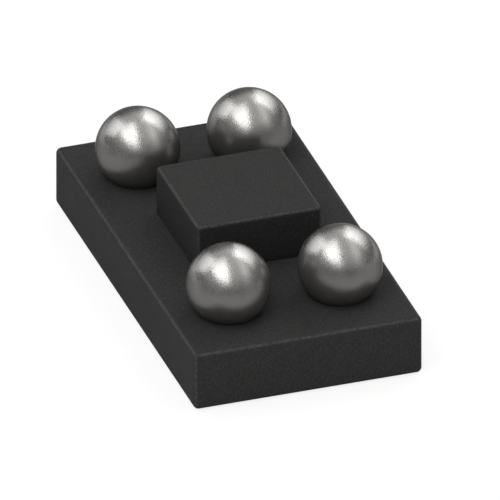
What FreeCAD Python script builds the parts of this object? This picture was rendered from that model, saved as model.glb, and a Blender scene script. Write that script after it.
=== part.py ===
import FreeCAD, Part
import math
import os

# A four-ball chip-scale package, lying on its flat back with its solder balls up.
# A silicon base die carries a solder ball near each corner. A smaller die is mounted face down
# between the balls, on bond bumps, and a thin film of black resin fills the space under it.
# Lengths are in millimetres. X runs along the package, Y across it and Z up, out of the balls.
# The origin is the centre of the ball grid in the seating plane, which touches the tips of the
# balls and is the face of the circuit board once the package is soldered down. So the whole
# package lies below Z = 0.

# Base die
base_thickness = 0.225
base_edge_radius = 0.020
base_end_margin = 0.270  # from a ball's centre line to the nearer end of the die
base_side_margin = 0.215  # from a ball's centre line to the nearer side of the die

# Solder balls, in rows a and b along X and columns 1 and 2 along Y
ball_diameter = 0.300
ball_flat_depth = 0.050  # how much of the full sphere is missing where the ball wets its pad
ball_pitch_x = 1.000
ball_pitch_y = 0.410
pad_thickness = 0.008  # plated metal disc, let into the die until it is flush

# Centre die and what holds it
die_to_ball_gap = 0.120  # free space between the centre die and the widest part of the balls
centre_die_width = 0.460
centre_die_top = 0.185  # height of its upper face above the base die
centre_die_edge_radius = 0.017
underfill_thickness = 0.015  # the space under the centre die, which the bond bumps span
bond_bump_diameter = 0.060
bond_bump_inset = 0.080  # from a bump's axis to the nearer edges of the centre die

# Sizes that follow from those above
base_length = ball_pitch_x + 2 * base_end_margin
base_width = ball_pitch_y + 2 * base_side_margin
ball_radius = ball_diameter / 2
ball_centre_height = ball_radius - ball_flat_depth  # above the base die
ball_height = ball_diameter - ball_flat_depth
ball_foot_radius = math.sqrt(ball_radius**2 - ball_centre_height**2)
centre_die_length = ball_pitch_x - ball_diameter - 2 * die_to_ball_gap
bond_bump_pitch_x = centre_die_length - 2 * bond_bump_inset
bond_bump_pitch_y = centre_die_width - 2 * bond_bump_inset
bond_bump_radius = bond_bump_diameter / 2

# Levels, measured up from the seating plane
die_face = -ball_height
back_face = die_face - base_thickness
centre_die_foot = die_face + underfill_thickness

UP = FreeCAD.Vector(0, 0, 1)
FULL_TURN = 360


def grid(pitch_x, pitch_y):
    """The four places of a two by two grid, as name, x and y: rows a and b, columns 1 and 2."""
    for row, side in (("a", 1), ("b", -1)):
        for column, end in ((1, -1), (2, 1)):
            yield f"{row}{column}", end * pitch_x / 2, side * pitch_y / 2


def centred_block(length, width, bottom, top):
    """A sharp-edged block, centred on the Z axis."""
    corner = FreeCAD.Vector(-length / 2, -width / 2, bottom)
    return Part.makeBox(length, width, top - bottom, corner)


def upright_edges(block):
    """The four edges of a block that stand upright at its corners."""
    middle = block.CenterOfMass.z
    return [edge for edge in block.Edges if edge.BoundBox.ZMin < middle < edge.BoundBox.ZMax]


def disc(radius, bottom, top, x, y):
    """An upright cylinder with its axis at x, y."""
    return Part.makeCylinder(radius, top - bottom, FreeCAD.Vector(x, y, bottom), UP)


def ball_pad(x, y):
    """The metal disc under a ball, as wide as the ball's foot and flush with the die's face."""
    return disc(ball_foot_radius, die_face - pad_thickness, die_face, x, y)


def solder_ball(x, y):
    """A sphere with a flat foot, turned from its half outline."""
    foot_centre = FreeCAD.Vector(0, 0, die_face)
    foot_rim = FreeCAD.Vector(ball_foot_radius, 0, die_face)
    widest = FreeCAD.Vector(ball_radius, 0, die_face + ball_centre_height)
    tip = FreeCAD.Vector(0, 0, 0)
    outline = Part.Wire(
        [
            Part.LineSegment(foot_centre, foot_rim).toShape(),
            Part.Arc(foot_rim, widest, tip).toShape(),
            Part.LineSegment(tip, foot_centre).toShape(),
        ]
    )
    ball = Part.Face(outline).revolve(FreeCAD.Vector(0, 0, 0), UP, FULL_TURN)
    ball.translate(FreeCAD.Vector(x, y, 0))
    return ball


def base_die(pads):
    """The large die, rounded along every edge, with a shallow pocket round each pad."""
    die = centred_block(base_length, base_width, back_face, die_face)
    die = die.makeFillet(base_edge_radius, die.Edges)
    return die.cut(list(pads.values()))


def bond_bump(x, y):
    """One of the metal posts that join the centre die to the base die."""
    return disc(bond_bump_radius, die_face, centre_die_foot, x, y)


def underfill(bumps):
    """The resin film under the centre die, flush with its sides and tight round each bump."""
    film = centred_block(centre_die_length, centre_die_width, die_face, centre_die_foot)
    film = film.makeFillet(centre_die_edge_radius, upright_edges(film))
    return film.cut(list(bumps.values()))


def centre_die():
    """The small die, rounded round its upper face and down its corners, sharp round its foot."""
    top = die_face + centre_die_top
    die = centred_block(centre_die_length, centre_die_width, centre_die_foot, top)
    top_edges = [edge for edge in die.Edges if edge.BoundBox.ZMin > centre_die_foot]
    return die.makeFillet(centre_die_edge_radius, upright_edges(die) + top_edges)


def package():
    """Every piece of the package, by name."""
    balls = list(grid(ball_pitch_x, ball_pitch_y))
    pads = {f"ball_pad_{name}": ball_pad(x, y) for name, x, y in balls}
    bumps = {
        f"bond_bump_{name}": bond_bump(x, y) for name, x, y in grid(bond_bump_pitch_x, bond_bump_pitch_y)
    }
    pieces = {"base_die": base_die(pads), "underfill": underfill(bumps), "centre_die": centre_die()}
    pieces.update(pads)
    pieces.update(bumps)
    pieces.update({f"solder_ball_{name}": solder_ball(x, y) for name, x, y in balls})
    return pieces


os.makedirs("parts", exist_ok=True)
for name, shape in package().items():
    shape.exportStep(f"parts/{name}.step")
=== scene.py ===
import math
from collections import namedtuple

import bmesh
import bpy
from mathutils import Matrix, Vector


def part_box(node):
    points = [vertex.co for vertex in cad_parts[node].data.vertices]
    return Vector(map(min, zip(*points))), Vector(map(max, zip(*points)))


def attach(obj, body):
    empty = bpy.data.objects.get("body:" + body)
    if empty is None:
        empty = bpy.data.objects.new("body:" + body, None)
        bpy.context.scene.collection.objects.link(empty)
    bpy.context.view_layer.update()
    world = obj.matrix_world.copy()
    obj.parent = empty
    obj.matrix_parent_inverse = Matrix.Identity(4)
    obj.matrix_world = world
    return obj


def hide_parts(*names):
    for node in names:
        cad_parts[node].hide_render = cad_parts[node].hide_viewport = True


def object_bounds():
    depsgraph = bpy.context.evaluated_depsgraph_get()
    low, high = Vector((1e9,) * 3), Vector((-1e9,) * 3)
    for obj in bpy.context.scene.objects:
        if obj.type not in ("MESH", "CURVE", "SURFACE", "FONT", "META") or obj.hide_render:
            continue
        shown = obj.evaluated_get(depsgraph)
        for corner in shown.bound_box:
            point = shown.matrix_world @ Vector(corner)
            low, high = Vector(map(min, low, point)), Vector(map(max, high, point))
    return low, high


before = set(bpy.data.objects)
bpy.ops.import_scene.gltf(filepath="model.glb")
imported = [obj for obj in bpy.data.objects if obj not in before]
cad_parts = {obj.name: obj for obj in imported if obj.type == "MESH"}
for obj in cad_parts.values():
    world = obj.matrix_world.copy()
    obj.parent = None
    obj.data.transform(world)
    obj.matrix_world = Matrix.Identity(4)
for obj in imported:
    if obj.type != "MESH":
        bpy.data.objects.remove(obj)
cad_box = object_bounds()

# Lengths are in metres. The package is about a millimetre and a half long.
MM = 0.001
BALLS = ("a1", "a2", "b1", "b2")
UP = Vector((0, 0, 1))

# The photograph's camera. It has no perspective. Its azimuth goes from -Y towards +X.
PHOTO_SIDE = 500
PIXELS_PER_MM = 286.6
CAMERA_AZIMUTH = 71.49
CAMERA_ELEVATION = 30.03
CAMERA_DISTANCE = 12 * MM
NEAREST_SEEN = 0.1 * MM
FARTHEST_SEEN = 400 * MM
BODY_CENTRE_PIXEL = (238.86, 259.76)  # where the middle of the base die is in the photograph

# Greys of the dies, and painted shade on each one's sawn sides, as a share of the grey of its ground
# faces.
SILICON_GREY = 0.026
SPECK_GREY = 0.052
# The grey of the painted highlight along the dies' top edges.
EDGE_HIGHLIGHT_GREY = 0.067
BASE_SIDE_SHADE = 1.0
CENTRE_SIDE_SHADE = 0.77

# Steps of a smooth ball, from its foot to its tip and round it.
BALL_RINGS = 64
BALL_STEPS = 128

# The floor is flat out to a radius, and its rim turns up round a quarter circle from there.
FLOOR_RADIUS = 40 * MM
RIM_RADIUS = 1.5 * MM
RIM_RINGS = 8
FLOOR_STEPS = 96
LOWER_FLOOR_DROP = 1 * MM

# About how far off the panels of light are. Their places and sizes go by it.
REACH = 60 * MM


def direction(azimuth, elevation):
    """The way to a place in the room, by degrees from +X towards +Y and up from the floor."""
    turn, rise = math.radians(azimuth), math.radians(elevation)
    return Vector((math.cos(turn) * math.cos(rise), math.sin(turn) * math.cos(rise), math.sin(rise)))


def make_camera():
    back = direction(CAMERA_AZIMUTH - 90, CAMERA_ELEVATION)
    right = direction(CAMERA_AZIMUTH, 0)
    up = back.cross(right)
    metres_per_pixel = MM / PIXELS_PER_MM
    low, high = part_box("base_die")
    aim = (low + high) / 2
    aim += right * (PHOTO_SIDE / 2 - BODY_CENTRE_PIXEL[0]) * metres_per_pixel
    aim += up * (BODY_CENTRE_PIXEL[1] - PHOTO_SIDE / 2) * metres_per_pixel
    lens = bpy.data.cameras.new("camera")
    lens.type = "ORTHO"
    lens.ortho_scale = PHOTO_SIDE * metres_per_pixel
    lens.clip_start = NEAREST_SEEN
    lens.clip_end = FARTHEST_SEEN
    camera = bpy.data.objects.new("camera", lens)
    camera.location = aim + back * CAMERA_DISTANCE
    camera.rotation_mode = "QUATERNION"
    camera.rotation_quaternion = back.to_track_quat("Z", "Y")
    bpy.context.scene.collection.objects.link(camera)
    bpy.context.scene.camera = camera


class Nodes:
    """The node tree of a material, a world or a lamp, with short calls for what it needs."""

    def __init__(self, owner):
        owner.use_nodes = True
        self.owner = owner
        self.tree = owner.node_tree

    def add(self, kind, entries=None, **settings):
        """A new node. Its entries, by name or number, are plain values or other nodes' outputs."""
        node = self.tree.nodes.new(kind)
        for name, value in settings.items():
            setattr(node, name, value)
        for name, value in (entries or {}).items():
            if isinstance(value, bpy.types.NodeSocket):
                self.tree.links.new(value, node.inputs[name])
            else:
                node.inputs[name].default_value = value
        return node

    def place(self):
        """Where a point is in the shared frame."""
        return self.add("ShaderNodeTexCoord").outputs["Object"]

    def split(self, vector):
        """A vector's X, Y and Z."""
        return self.add("ShaderNodeSeparateXYZ", {"Vector": vector}).outputs

    def noise(self, size, detail=2.0, roughness=0.5):
        """Noise whose grains are about a size across."""
        entries = {"Vector": self.place(), "Scale": 1 / size, "Detail": detail, "Roughness": roughness}
        return self.add("ShaderNodeTexNoise", entries).outputs["Fac"]

    def ramp(self, value, *stops):
        """Colours or greys that follow a value, as (place, colour) pairs."""
        ramp = self.add("ShaderNodeValToRGB", {"Fac": value})
        elements = ramp.color_ramp.elements
        while len(elements) < len(stops):
            elements.new(0.5)
        for element, (place, colour) in zip(elements, stops):
            element.position = place
            grey = (colour,) * 3 if isinstance(colour, (int, float)) else colour
            element.color = (*grey, 1)
        return ramp.outputs["Color"]

    def spread(self, noise, low, high, start=0.3, end=0.7):
        """From one colour or grey to another, over the range that noise fills for the most part."""
        return self.ramp(noise, (start, low), (end, high))

    def math(self, operation, *values):
        """A sum, product or the like of outputs and plain numbers."""
        return self.add("ShaderNodeMath", dict(enumerate(values)), operation=operation).outputs[0]

    def dot(self, vector, way):
        """How far a vector reaches along a given way."""
        entries = {0: vector, 1: way}
        return self.add("ShaderNodeVectorMath", entries, operation="DOT_PRODUCT").outputs["Value"]

    def tint(self, colour, by):
        """A colour multiplied by another, or by a grey."""
        entries = {0: colour, 1: by}
        return self.add("ShaderNodeVectorMath", entries, operation="MULTIPLY").outputs["Vector"]

    def fade(self, value, start, end, low=0.0, high=1.0):
        """A smooth change from low to high as a value goes from start to end."""
        entries = {"Value": value, "From Min": start, "From Max": end, "To Min": low, "To Max": high}
        node = self.add("ShaderNodeMapRange", entries, interpolation_type="SMOOTHSTEP")
        return node.outputs["Result"]

    def mix(self, share, first, second):
        """The first colour where the share is 0, and the second where it is 1."""
        entries = {"Factor": share, "A": first, "B": second}
        return self.add("ShaderNodeMix", entries, data_type="RGBA").outputs["Result"]

    def mix_shaders(self, share, first, second):
        """The first shader where the share is 0, and the second where it is 1."""
        return self.add("ShaderNodeMixShader", {"Fac": share, 1: first, 2: second}).outputs["Shader"]

    def bump(self, height, depth):
        entries = {"Strength": 1.0, "Distance": depth, "Height": height}
        return self.add("ShaderNodeBump", entries).outputs["Normal"]

    def edge_distance(self, low, high):
        """How far a point on a block is from its nearest edge, the edges round its foot apart."""
        point = self.split(self.place())
        depths = [self.math("SUBTRACT", high.z, point["Z"])]
        for axis in (0, 1):
            middle, half = (low[axis] + high[axis]) / 2, (high[axis] - low[axis]) / 2
            offset = self.math("ABSOLUTE", self.math("SUBTRACT", point[axis], middle))
            depths.append(self.math("SUBTRACT", half, offset))
        shorter = self.math("MINIMUM", depths[0], depths[1])
        longer = self.math("MAXIMUM", depths[0], depths[1])
        return self.math("MAXIMUM", shorter, self.math("MINIMUM", longer, depths[2]))


def blank_material(name):
    """The empty node tree of a new material."""
    nodes = Nodes(bpy.data.materials.new(name))
    nodes.tree.nodes.clear()
    return nodes


def as_material(nodes, shader):
    """The material of a node tree, with a shader as its surface."""
    nodes.add("ShaderNodeOutputMaterial", {"Surface": shader})
    return nodes.owner


def principled_material(nodes, entries):
    """The material of a node tree, with these entries of the principled shader as its surface."""
    return as_material(nodes, nodes.add("ShaderNodeBsdfPrincipled", entries).outputs["BSDF"])


def die_material(name, node, side_shade):
    """Charcoal silicon: matt, with fine pale specks, a painted highlight along its edges and painted
    shade on its sides.
    """
    grain_size = 0.006 * MM
    scuff_size = 0.012 * MM
    patch_size = 0.08 * MM
    highlight_width, whole_from = 0.003 * MM, 0.014 * MM  # by the distance from an edge
    sawn_until, ground_from = 0.2, 0.8  # by how nearly a face looks up or down
    nodes = blank_material(name)

    grain = nodes.noise(grain_size, roughness=0.6)
    middle_grey = (SILICON_GREY + SPECK_GREY) / 2
    body = nodes.ramp(grain, (0.3, SILICON_GREY), (0.62, middle_grey), (0.75, SPECK_GREY))
    # Painted highlight: a paler band along the top edges, broken up by scuff noise.
    scuffs = nodes.noise(scuff_size)
    edge_highlight = nodes.spread(scuffs, EDGE_HIGHLIGHT_GREY * 0.9, EDGE_HIGHLIGHT_GREY * 1.1)
    edge = nodes.fade(nodes.edge_distance(*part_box(node)), highlight_width, whole_from, low=1.0, high=0.0)
    edge_highlight_share = nodes.math("MULTIPLY", edge, nodes.fade(scuffs, 0.2, 0.6, low=0.3))

    normal = nodes.split(nodes.add("ShaderNodeNewGeometry").outputs["Normal"])
    ground = nodes.fade(nodes.math("ABSOLUTE", normal["Z"]), sawn_until, ground_from)
    # Painted shade: the sides are darkened to the given share of the ground faces' grey.
    painted_side_shade = nodes.fade(ground, 0.0, 1.0, low=side_shade)
    patches = nodes.noise(patch_size, detail=4)
    sawn_roughness = nodes.spread(patches, 0.72, 0.82)
    ground_roughness = nodes.spread(patches, 0.5, 0.62)
    entries = {
        "Base Color": nodes.tint(nodes.mix(edge_highlight_share, body, edge_highlight), painted_side_shade),
        "Roughness": nodes.mix(ground, sawn_roughness, ground_roughness),
        "Normal": nodes.bump(grain, depth=0.0006 * MM),
        "Specular IOR Level": 0.03,
    }
    return principled_material(nodes, entries)


def solder_material():
    """Reflowed solder: a satin metal with a fine grain, bright at its crown and darker and duller below,
    which is painted shade standing in for a darker reflection there.

    Its heights are those of the frame, where the balls' tips are at zero.
    """
    cloud_size = 0.06 * MM
    grain_size = 0.0045 * MM
    shade_below, bright_above = -0.097 * MM, -0.025 * MM
    ragged = 0.03 * MM  # the most that the clouds lower the edge of the painted shade
    nodes = blank_material("solder")

    clouds = nodes.noise(cloud_size, detail=4, roughness=0.6)
    # Painted shade: below the crown the solder is darker and less metallic, standing in for the darker
    # reflection there.
    crown_colour = nodes.spread(clouds, (0.43, 0.425, 0.417), (0.47, 0.465, 0.457))
    painted_dark_foot = nodes.spread(clouds, (0.145, 0.143, 0.139), (0.165, 0.162, 0.158))
    height = nodes.math("ADD", nodes.split(nodes.place())["Z"], nodes.math("MULTIPLY", clouds, ragged))
    crown = nodes.fade(height, shade_below, bright_above)

    grain = nodes.noise(grain_size, detail=1)
    blurred = nodes.spread(grain, 0.28, 0.38, start=0.35, end=0.65)
    glossy = nodes.spread(grain, 0.1, 0.3, start=0.35, end=0.65)
    entries = {
        "Base Color": nodes.mix(crown, painted_dark_foot, crown_colour),
        "Metallic": nodes.fade(crown, 0.0, 1.0, low=0.72, high=0.95),
        "Roughness": nodes.mix(crown, blurred, glossy),
        "Normal": nodes.bump(grain, depth=0.0005 * MM),
        "Specular Tint": (0.12, 0.12, 0.12, 1),
    }
    return principled_material(nodes, entries)


def plated_material(name, dark, light):
    """Plated metal that the balls and the centre die hide."""
    nodes = blank_material(name)
    grain = nodes.noise(0.003 * MM)
    entries = {
        "Base Color": nodes.spread(grain, dark, light),
        "Roughness": nodes.spread(grain, 0.3, 0.45),
        "Metallic": 1.0,
    }
    return principled_material(nodes, entries)


def resin_material():
    nodes = blank_material("resin")
    filler = nodes.noise(0.005 * MM)
    entries = {
        "Base Color": nodes.spread(filler, 0.006, 0.014),
        "Roughness": nodes.spread(filler, 0.5, 0.65),
        "Normal": nodes.bump(filler, depth=0.0003 * MM),
    }
    return principled_material(nodes, entries)


def floor_material():
    """A pale floor that reads as white and keeps a soft shadow of the package.

    It is seen from above only, so a view from below shows the package's back.
    """
    glow = 1.15  # how strongly it shines by itself, where 1 is white
    glow_share = 0.7  # the rest is paint, which takes light and shadow
    nodes = blank_material("floor")
    grain = nodes.noise(0.2 * MM)
    paint = nodes.add("ShaderNodeBsdfDiffuse", {"Color": nodes.spread(grain, 0.74, 0.76)})
    white = nodes.add("ShaderNodeEmission", {"Strength": glow})
    rays = nodes.add("ShaderNodeLightPath").outputs
    seen = nodes.math("MAXIMUM", rays["Is Camera Ray"], rays["Is Glossy Ray"])
    seen = nodes.math("MAXIMUM", seen, rays["Is Transmission Ray"])
    share = nodes.math("MULTIPLY", seen, glow_share)
    top = nodes.mix_shaders(share, paint.outputs["BSDF"], white.outputs["Emission"])
    below = nodes.add("ShaderNodeNewGeometry").outputs["Backfacing"]
    clear = nodes.add("ShaderNodeBsdfTransparent").outputs["BSDF"]
    return as_material(nodes, nodes.mix_shaders(below, top, clear))


def dress(node, material):
    """Gives a solid of the frame its material."""
    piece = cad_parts[node]
    piece.data.materials.clear()
    piece.data.materials.append(material)


def ring(mesh, centre, radius, height, steps):
    """Points round an upright axis through a centre, at a height above it."""
    turns = [2 * math.pi * step / steps for step in range(steps)]
    return [
        mesh.verts.new(centre + Vector((radius * math.cos(turn), radius * math.sin(turn), height)))
        for turn in turns
    ]


def band(mesh, first, second):
    """Faces from one ring to another. They look outwards where the second is the upper one."""
    for step in range(len(first)):
        after = (step + 1) % len(first)
        mesh.faces.new((first[step], first[after], second[after], second[step]))


def add_object(name, mesh, material):
    """An object of one material, from the mesh that was built for it."""
    data = bpy.data.meshes.new(name)
    mesh.to_mesh(data)
    mesh.free()
    data.materials.append(material)
    piece = bpy.data.objects.new(name, data)
    bpy.context.scene.collection.objects.link(piece)
    return piece


def smooth_ball(name, material):
    """A ball turned in fine steps, with the flat foot that it stands on."""
    low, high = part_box(f"solder_ball_{name}")
    radius = (high.x - low.x) / 2
    centre = Vector(((low.x + high.x) / 2, (low.y + high.y) / 2, high.z - radius))
    foot_angle = math.asin((low.z - centre.z) / radius)
    tip_angle = math.pi / 2
    mesh = bmesh.new()
    rings = []
    for step in range(BALL_RINGS):
        angle = foot_angle + (tip_angle - foot_angle) * step / BALL_RINGS
        rings.append(ring(mesh, centre, radius * math.cos(angle), radius * math.sin(angle), BALL_STEPS))
    for below, above in zip(rings, rings[1:]):
        band(mesh, below, above)
    tip = mesh.verts.new(centre + Vector((0, 0, radius)))
    for step in range(BALL_STEPS):
        mesh.faces.new((rings[-1][step], rings[-1][(step + 1) % BALL_STEPS], tip))
    for face in mesh.faces:
        face.smooth = True
    mesh.faces.new(list(reversed(rings[0])))
    ball = add_object(f"ball_{name}", mesh, material)
    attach(ball, "root")
    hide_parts(f"solder_ball_{name}")


def make_floor(name, level, material):
    """A round floor that turns up at its rim, so that low views end on it too."""
    mesh = bmesh.new()
    centre = Vector((0, 0, level))
    rings = []
    for step in range(RIM_RINGS + 1):
        turn = math.pi / 2 * step / RIM_RINGS
        radius = FLOOR_RADIUS + RIM_RADIUS * math.sin(turn)
        rings.append(ring(mesh, centre, radius, RIM_RADIUS * (1 - math.cos(turn)), FLOOR_STEPS))
    mesh.faces.new(rings[0])
    for inner, outer in zip(rings, rings[1:]):
        band(mesh, outer, inner)
    add_object(name, mesh, material)


# A change of brightness over a panel: how much it follows the panel's length and its width,
# which both go from 0 to 1, where it starts and ends, and the brightness at its start and end.
Fade = namedtuple("Fade", "follows start end low high")


def soft_panel(name, place, facing, along, length, width, radiance, fades):
    """A soft panel with its length along one direction. Its fades are multiplied."""
    lamp = bpy.data.lights.new(name, "AREA")
    lamp.shape = "RECTANGLE"
    lamp.size = length
    lamp.size_y = width
    lamp.energy = radiance * math.pi * length * width
    nodes = Nodes(lamp)
    on_panel = nodes.add("ShaderNodeNewGeometry").outputs["Parametric"]
    strength = 1.0
    for fade in fades:
        across = nodes.dot(on_panel, (*fade.follows, 0))
        change = nodes.fade(across, fade.start, fade.end, fade.low, fade.high)
        strength = nodes.math("MULTIPLY", strength, change)
    nodes.tree.links.new(strength, nodes.tree.nodes["Emission"].inputs["Strength"])
    panel = bpy.data.objects.new(name, lamp)
    z = -facing.normalized()
    x = (along - z * along.dot(z)).normalized()
    y = z.cross(x)
    panel.matrix_world = Matrix.Translation(place) @ Matrix((x, y, z)).transposed().to_4x4()
    bpy.context.scene.collection.objects.link(panel)


def make_lights():
    """A ceiling panel, and two that look down from behind, on the camera's right and left."""
    along, across = direction(-11, 0), direction(-101, 0)
    soft_panel(
        "ceiling_panel",
        place=REACH * (UP + 1.12 * along + 0.5 * across),
        facing=-UP,
        along=along,
        length=2.95 * REACH,
        width=0.85 * REACH,
        radiance=2.05,
        fades=[
            Fade(follows=(1, 0), start=-0.2, end=0.27, low=0.0, high=1.0),
            Fade(follows=(1, 0), start=0.38, end=1.0, low=1.0, high=0.2),
        ],
    )

    rear = direction(112, 38)
    along = (UP - 1.9 * direction(159.5, 0)).normalized()
    soft_panel(
        "rear_panel",
        place=REACH * (rear - 0.59 * along + 0.14 * rear.cross(along)),
        facing=-rear,
        along=along,
        length=1.7 * REACH,
        width=1.38 * REACH,
        radiance=1.7,
        fades=[Fade(follows=(0.4, -1.36), start=-0.68, end=-0.06, low=0.06, high=1.0)],
    )

    left = direction(-142, 26)
    soft_panel(
        "left_panel",
        place=REACH * left,
        facing=-left,
        along=direction(-120, 46) - direction(-163, 3),
        length=1.03 * REACH,
        width=0.62 * REACH,
        radiance=1.28,
        fades=[Fade(follows=(0.9, 0.18), start=-0.12, end=1.14, low=0.32, high=1.0)],
    )


def make_world():
    """A plain grey room, lighter above, with three dark recesses low down.

    A recess is the way to it, and its shades by how nearly a direction points that way, from 0,
    square to it, to 1, straight along it. The right one has a bright border.
    """
    light_by_height = (
        (0.0, (0.31, 0.3, 0.29)),
        (0.5, (0.5, 0.486, 0.474)),
        (0.7, (0.69, 0.672, 0.655)),
    )
    right_recess = (direction(101, -3), (0.2, 0.9), (0.42, 1.7), (0.66, 0.85), (0.88, 0.35), (0.99, 0.12))
    left_recess = (direction(-108, -17), (0.5, 1.0), (0.66, 0.9), (0.77, 0.65), (0.91, 0.15))
    back_recess = (direction(176, 0), (0.65, 1.0), (0.93, 0.4))
    world = bpy.data.worlds.new("room")
    bpy.context.scene.world = world
    nodes = Nodes(world)
    nodes.tree.nodes.clear()
    outwards = nodes.add("ShaderNodeTexCoord").outputs["Generated"]
    light = nodes.ramp(nodes.dot(outwards, UP), *light_by_height)
    for way, *stops in (right_recess, left_recess, back_recess):
        light = nodes.tint(light, nodes.ramp(nodes.dot(outwards, way), *stops))
    background = nodes.add("ShaderNodeBackground", {"Color": light})
    nodes.add("ShaderNodeOutputWorld", {"Surface": background.outputs["Background"]})


bpy.context.scene.view_settings.view_transform = "Standard"
make_camera()
dress("base_die", die_material("base_silicon", "base_die", BASE_SIDE_SHADE))
dress("centre_die", die_material("centre_silicon", "centre_die", CENTRE_SIDE_SHADE))
dress("underfill", resin_material())
solder = solder_material()
pad_metal = plated_material("pad_metal", (0.55, 0.48, 0.4), (0.68, 0.6, 0.5))
bump_metal = plated_material("bump_metal", (0.6, 0.5, 0.28), (0.75, 0.62, 0.36))
for ball in BALLS:
    dress(f"ball_pad_{ball}", pad_metal)
    dress(f"bond_bump_{ball}", bump_metal)
    smooth_ball(ball, solder)
floor_paint = floor_material()
floor_level = cad_box[0].z
make_floor("floor", floor_level, floor_paint)
# The lowest views look in from under the floor, and end on a second one below it.
make_floor("lower_floor", floor_level - LOWER_FLOOR_DROP, floor_paint)
make_lights()
make_world()
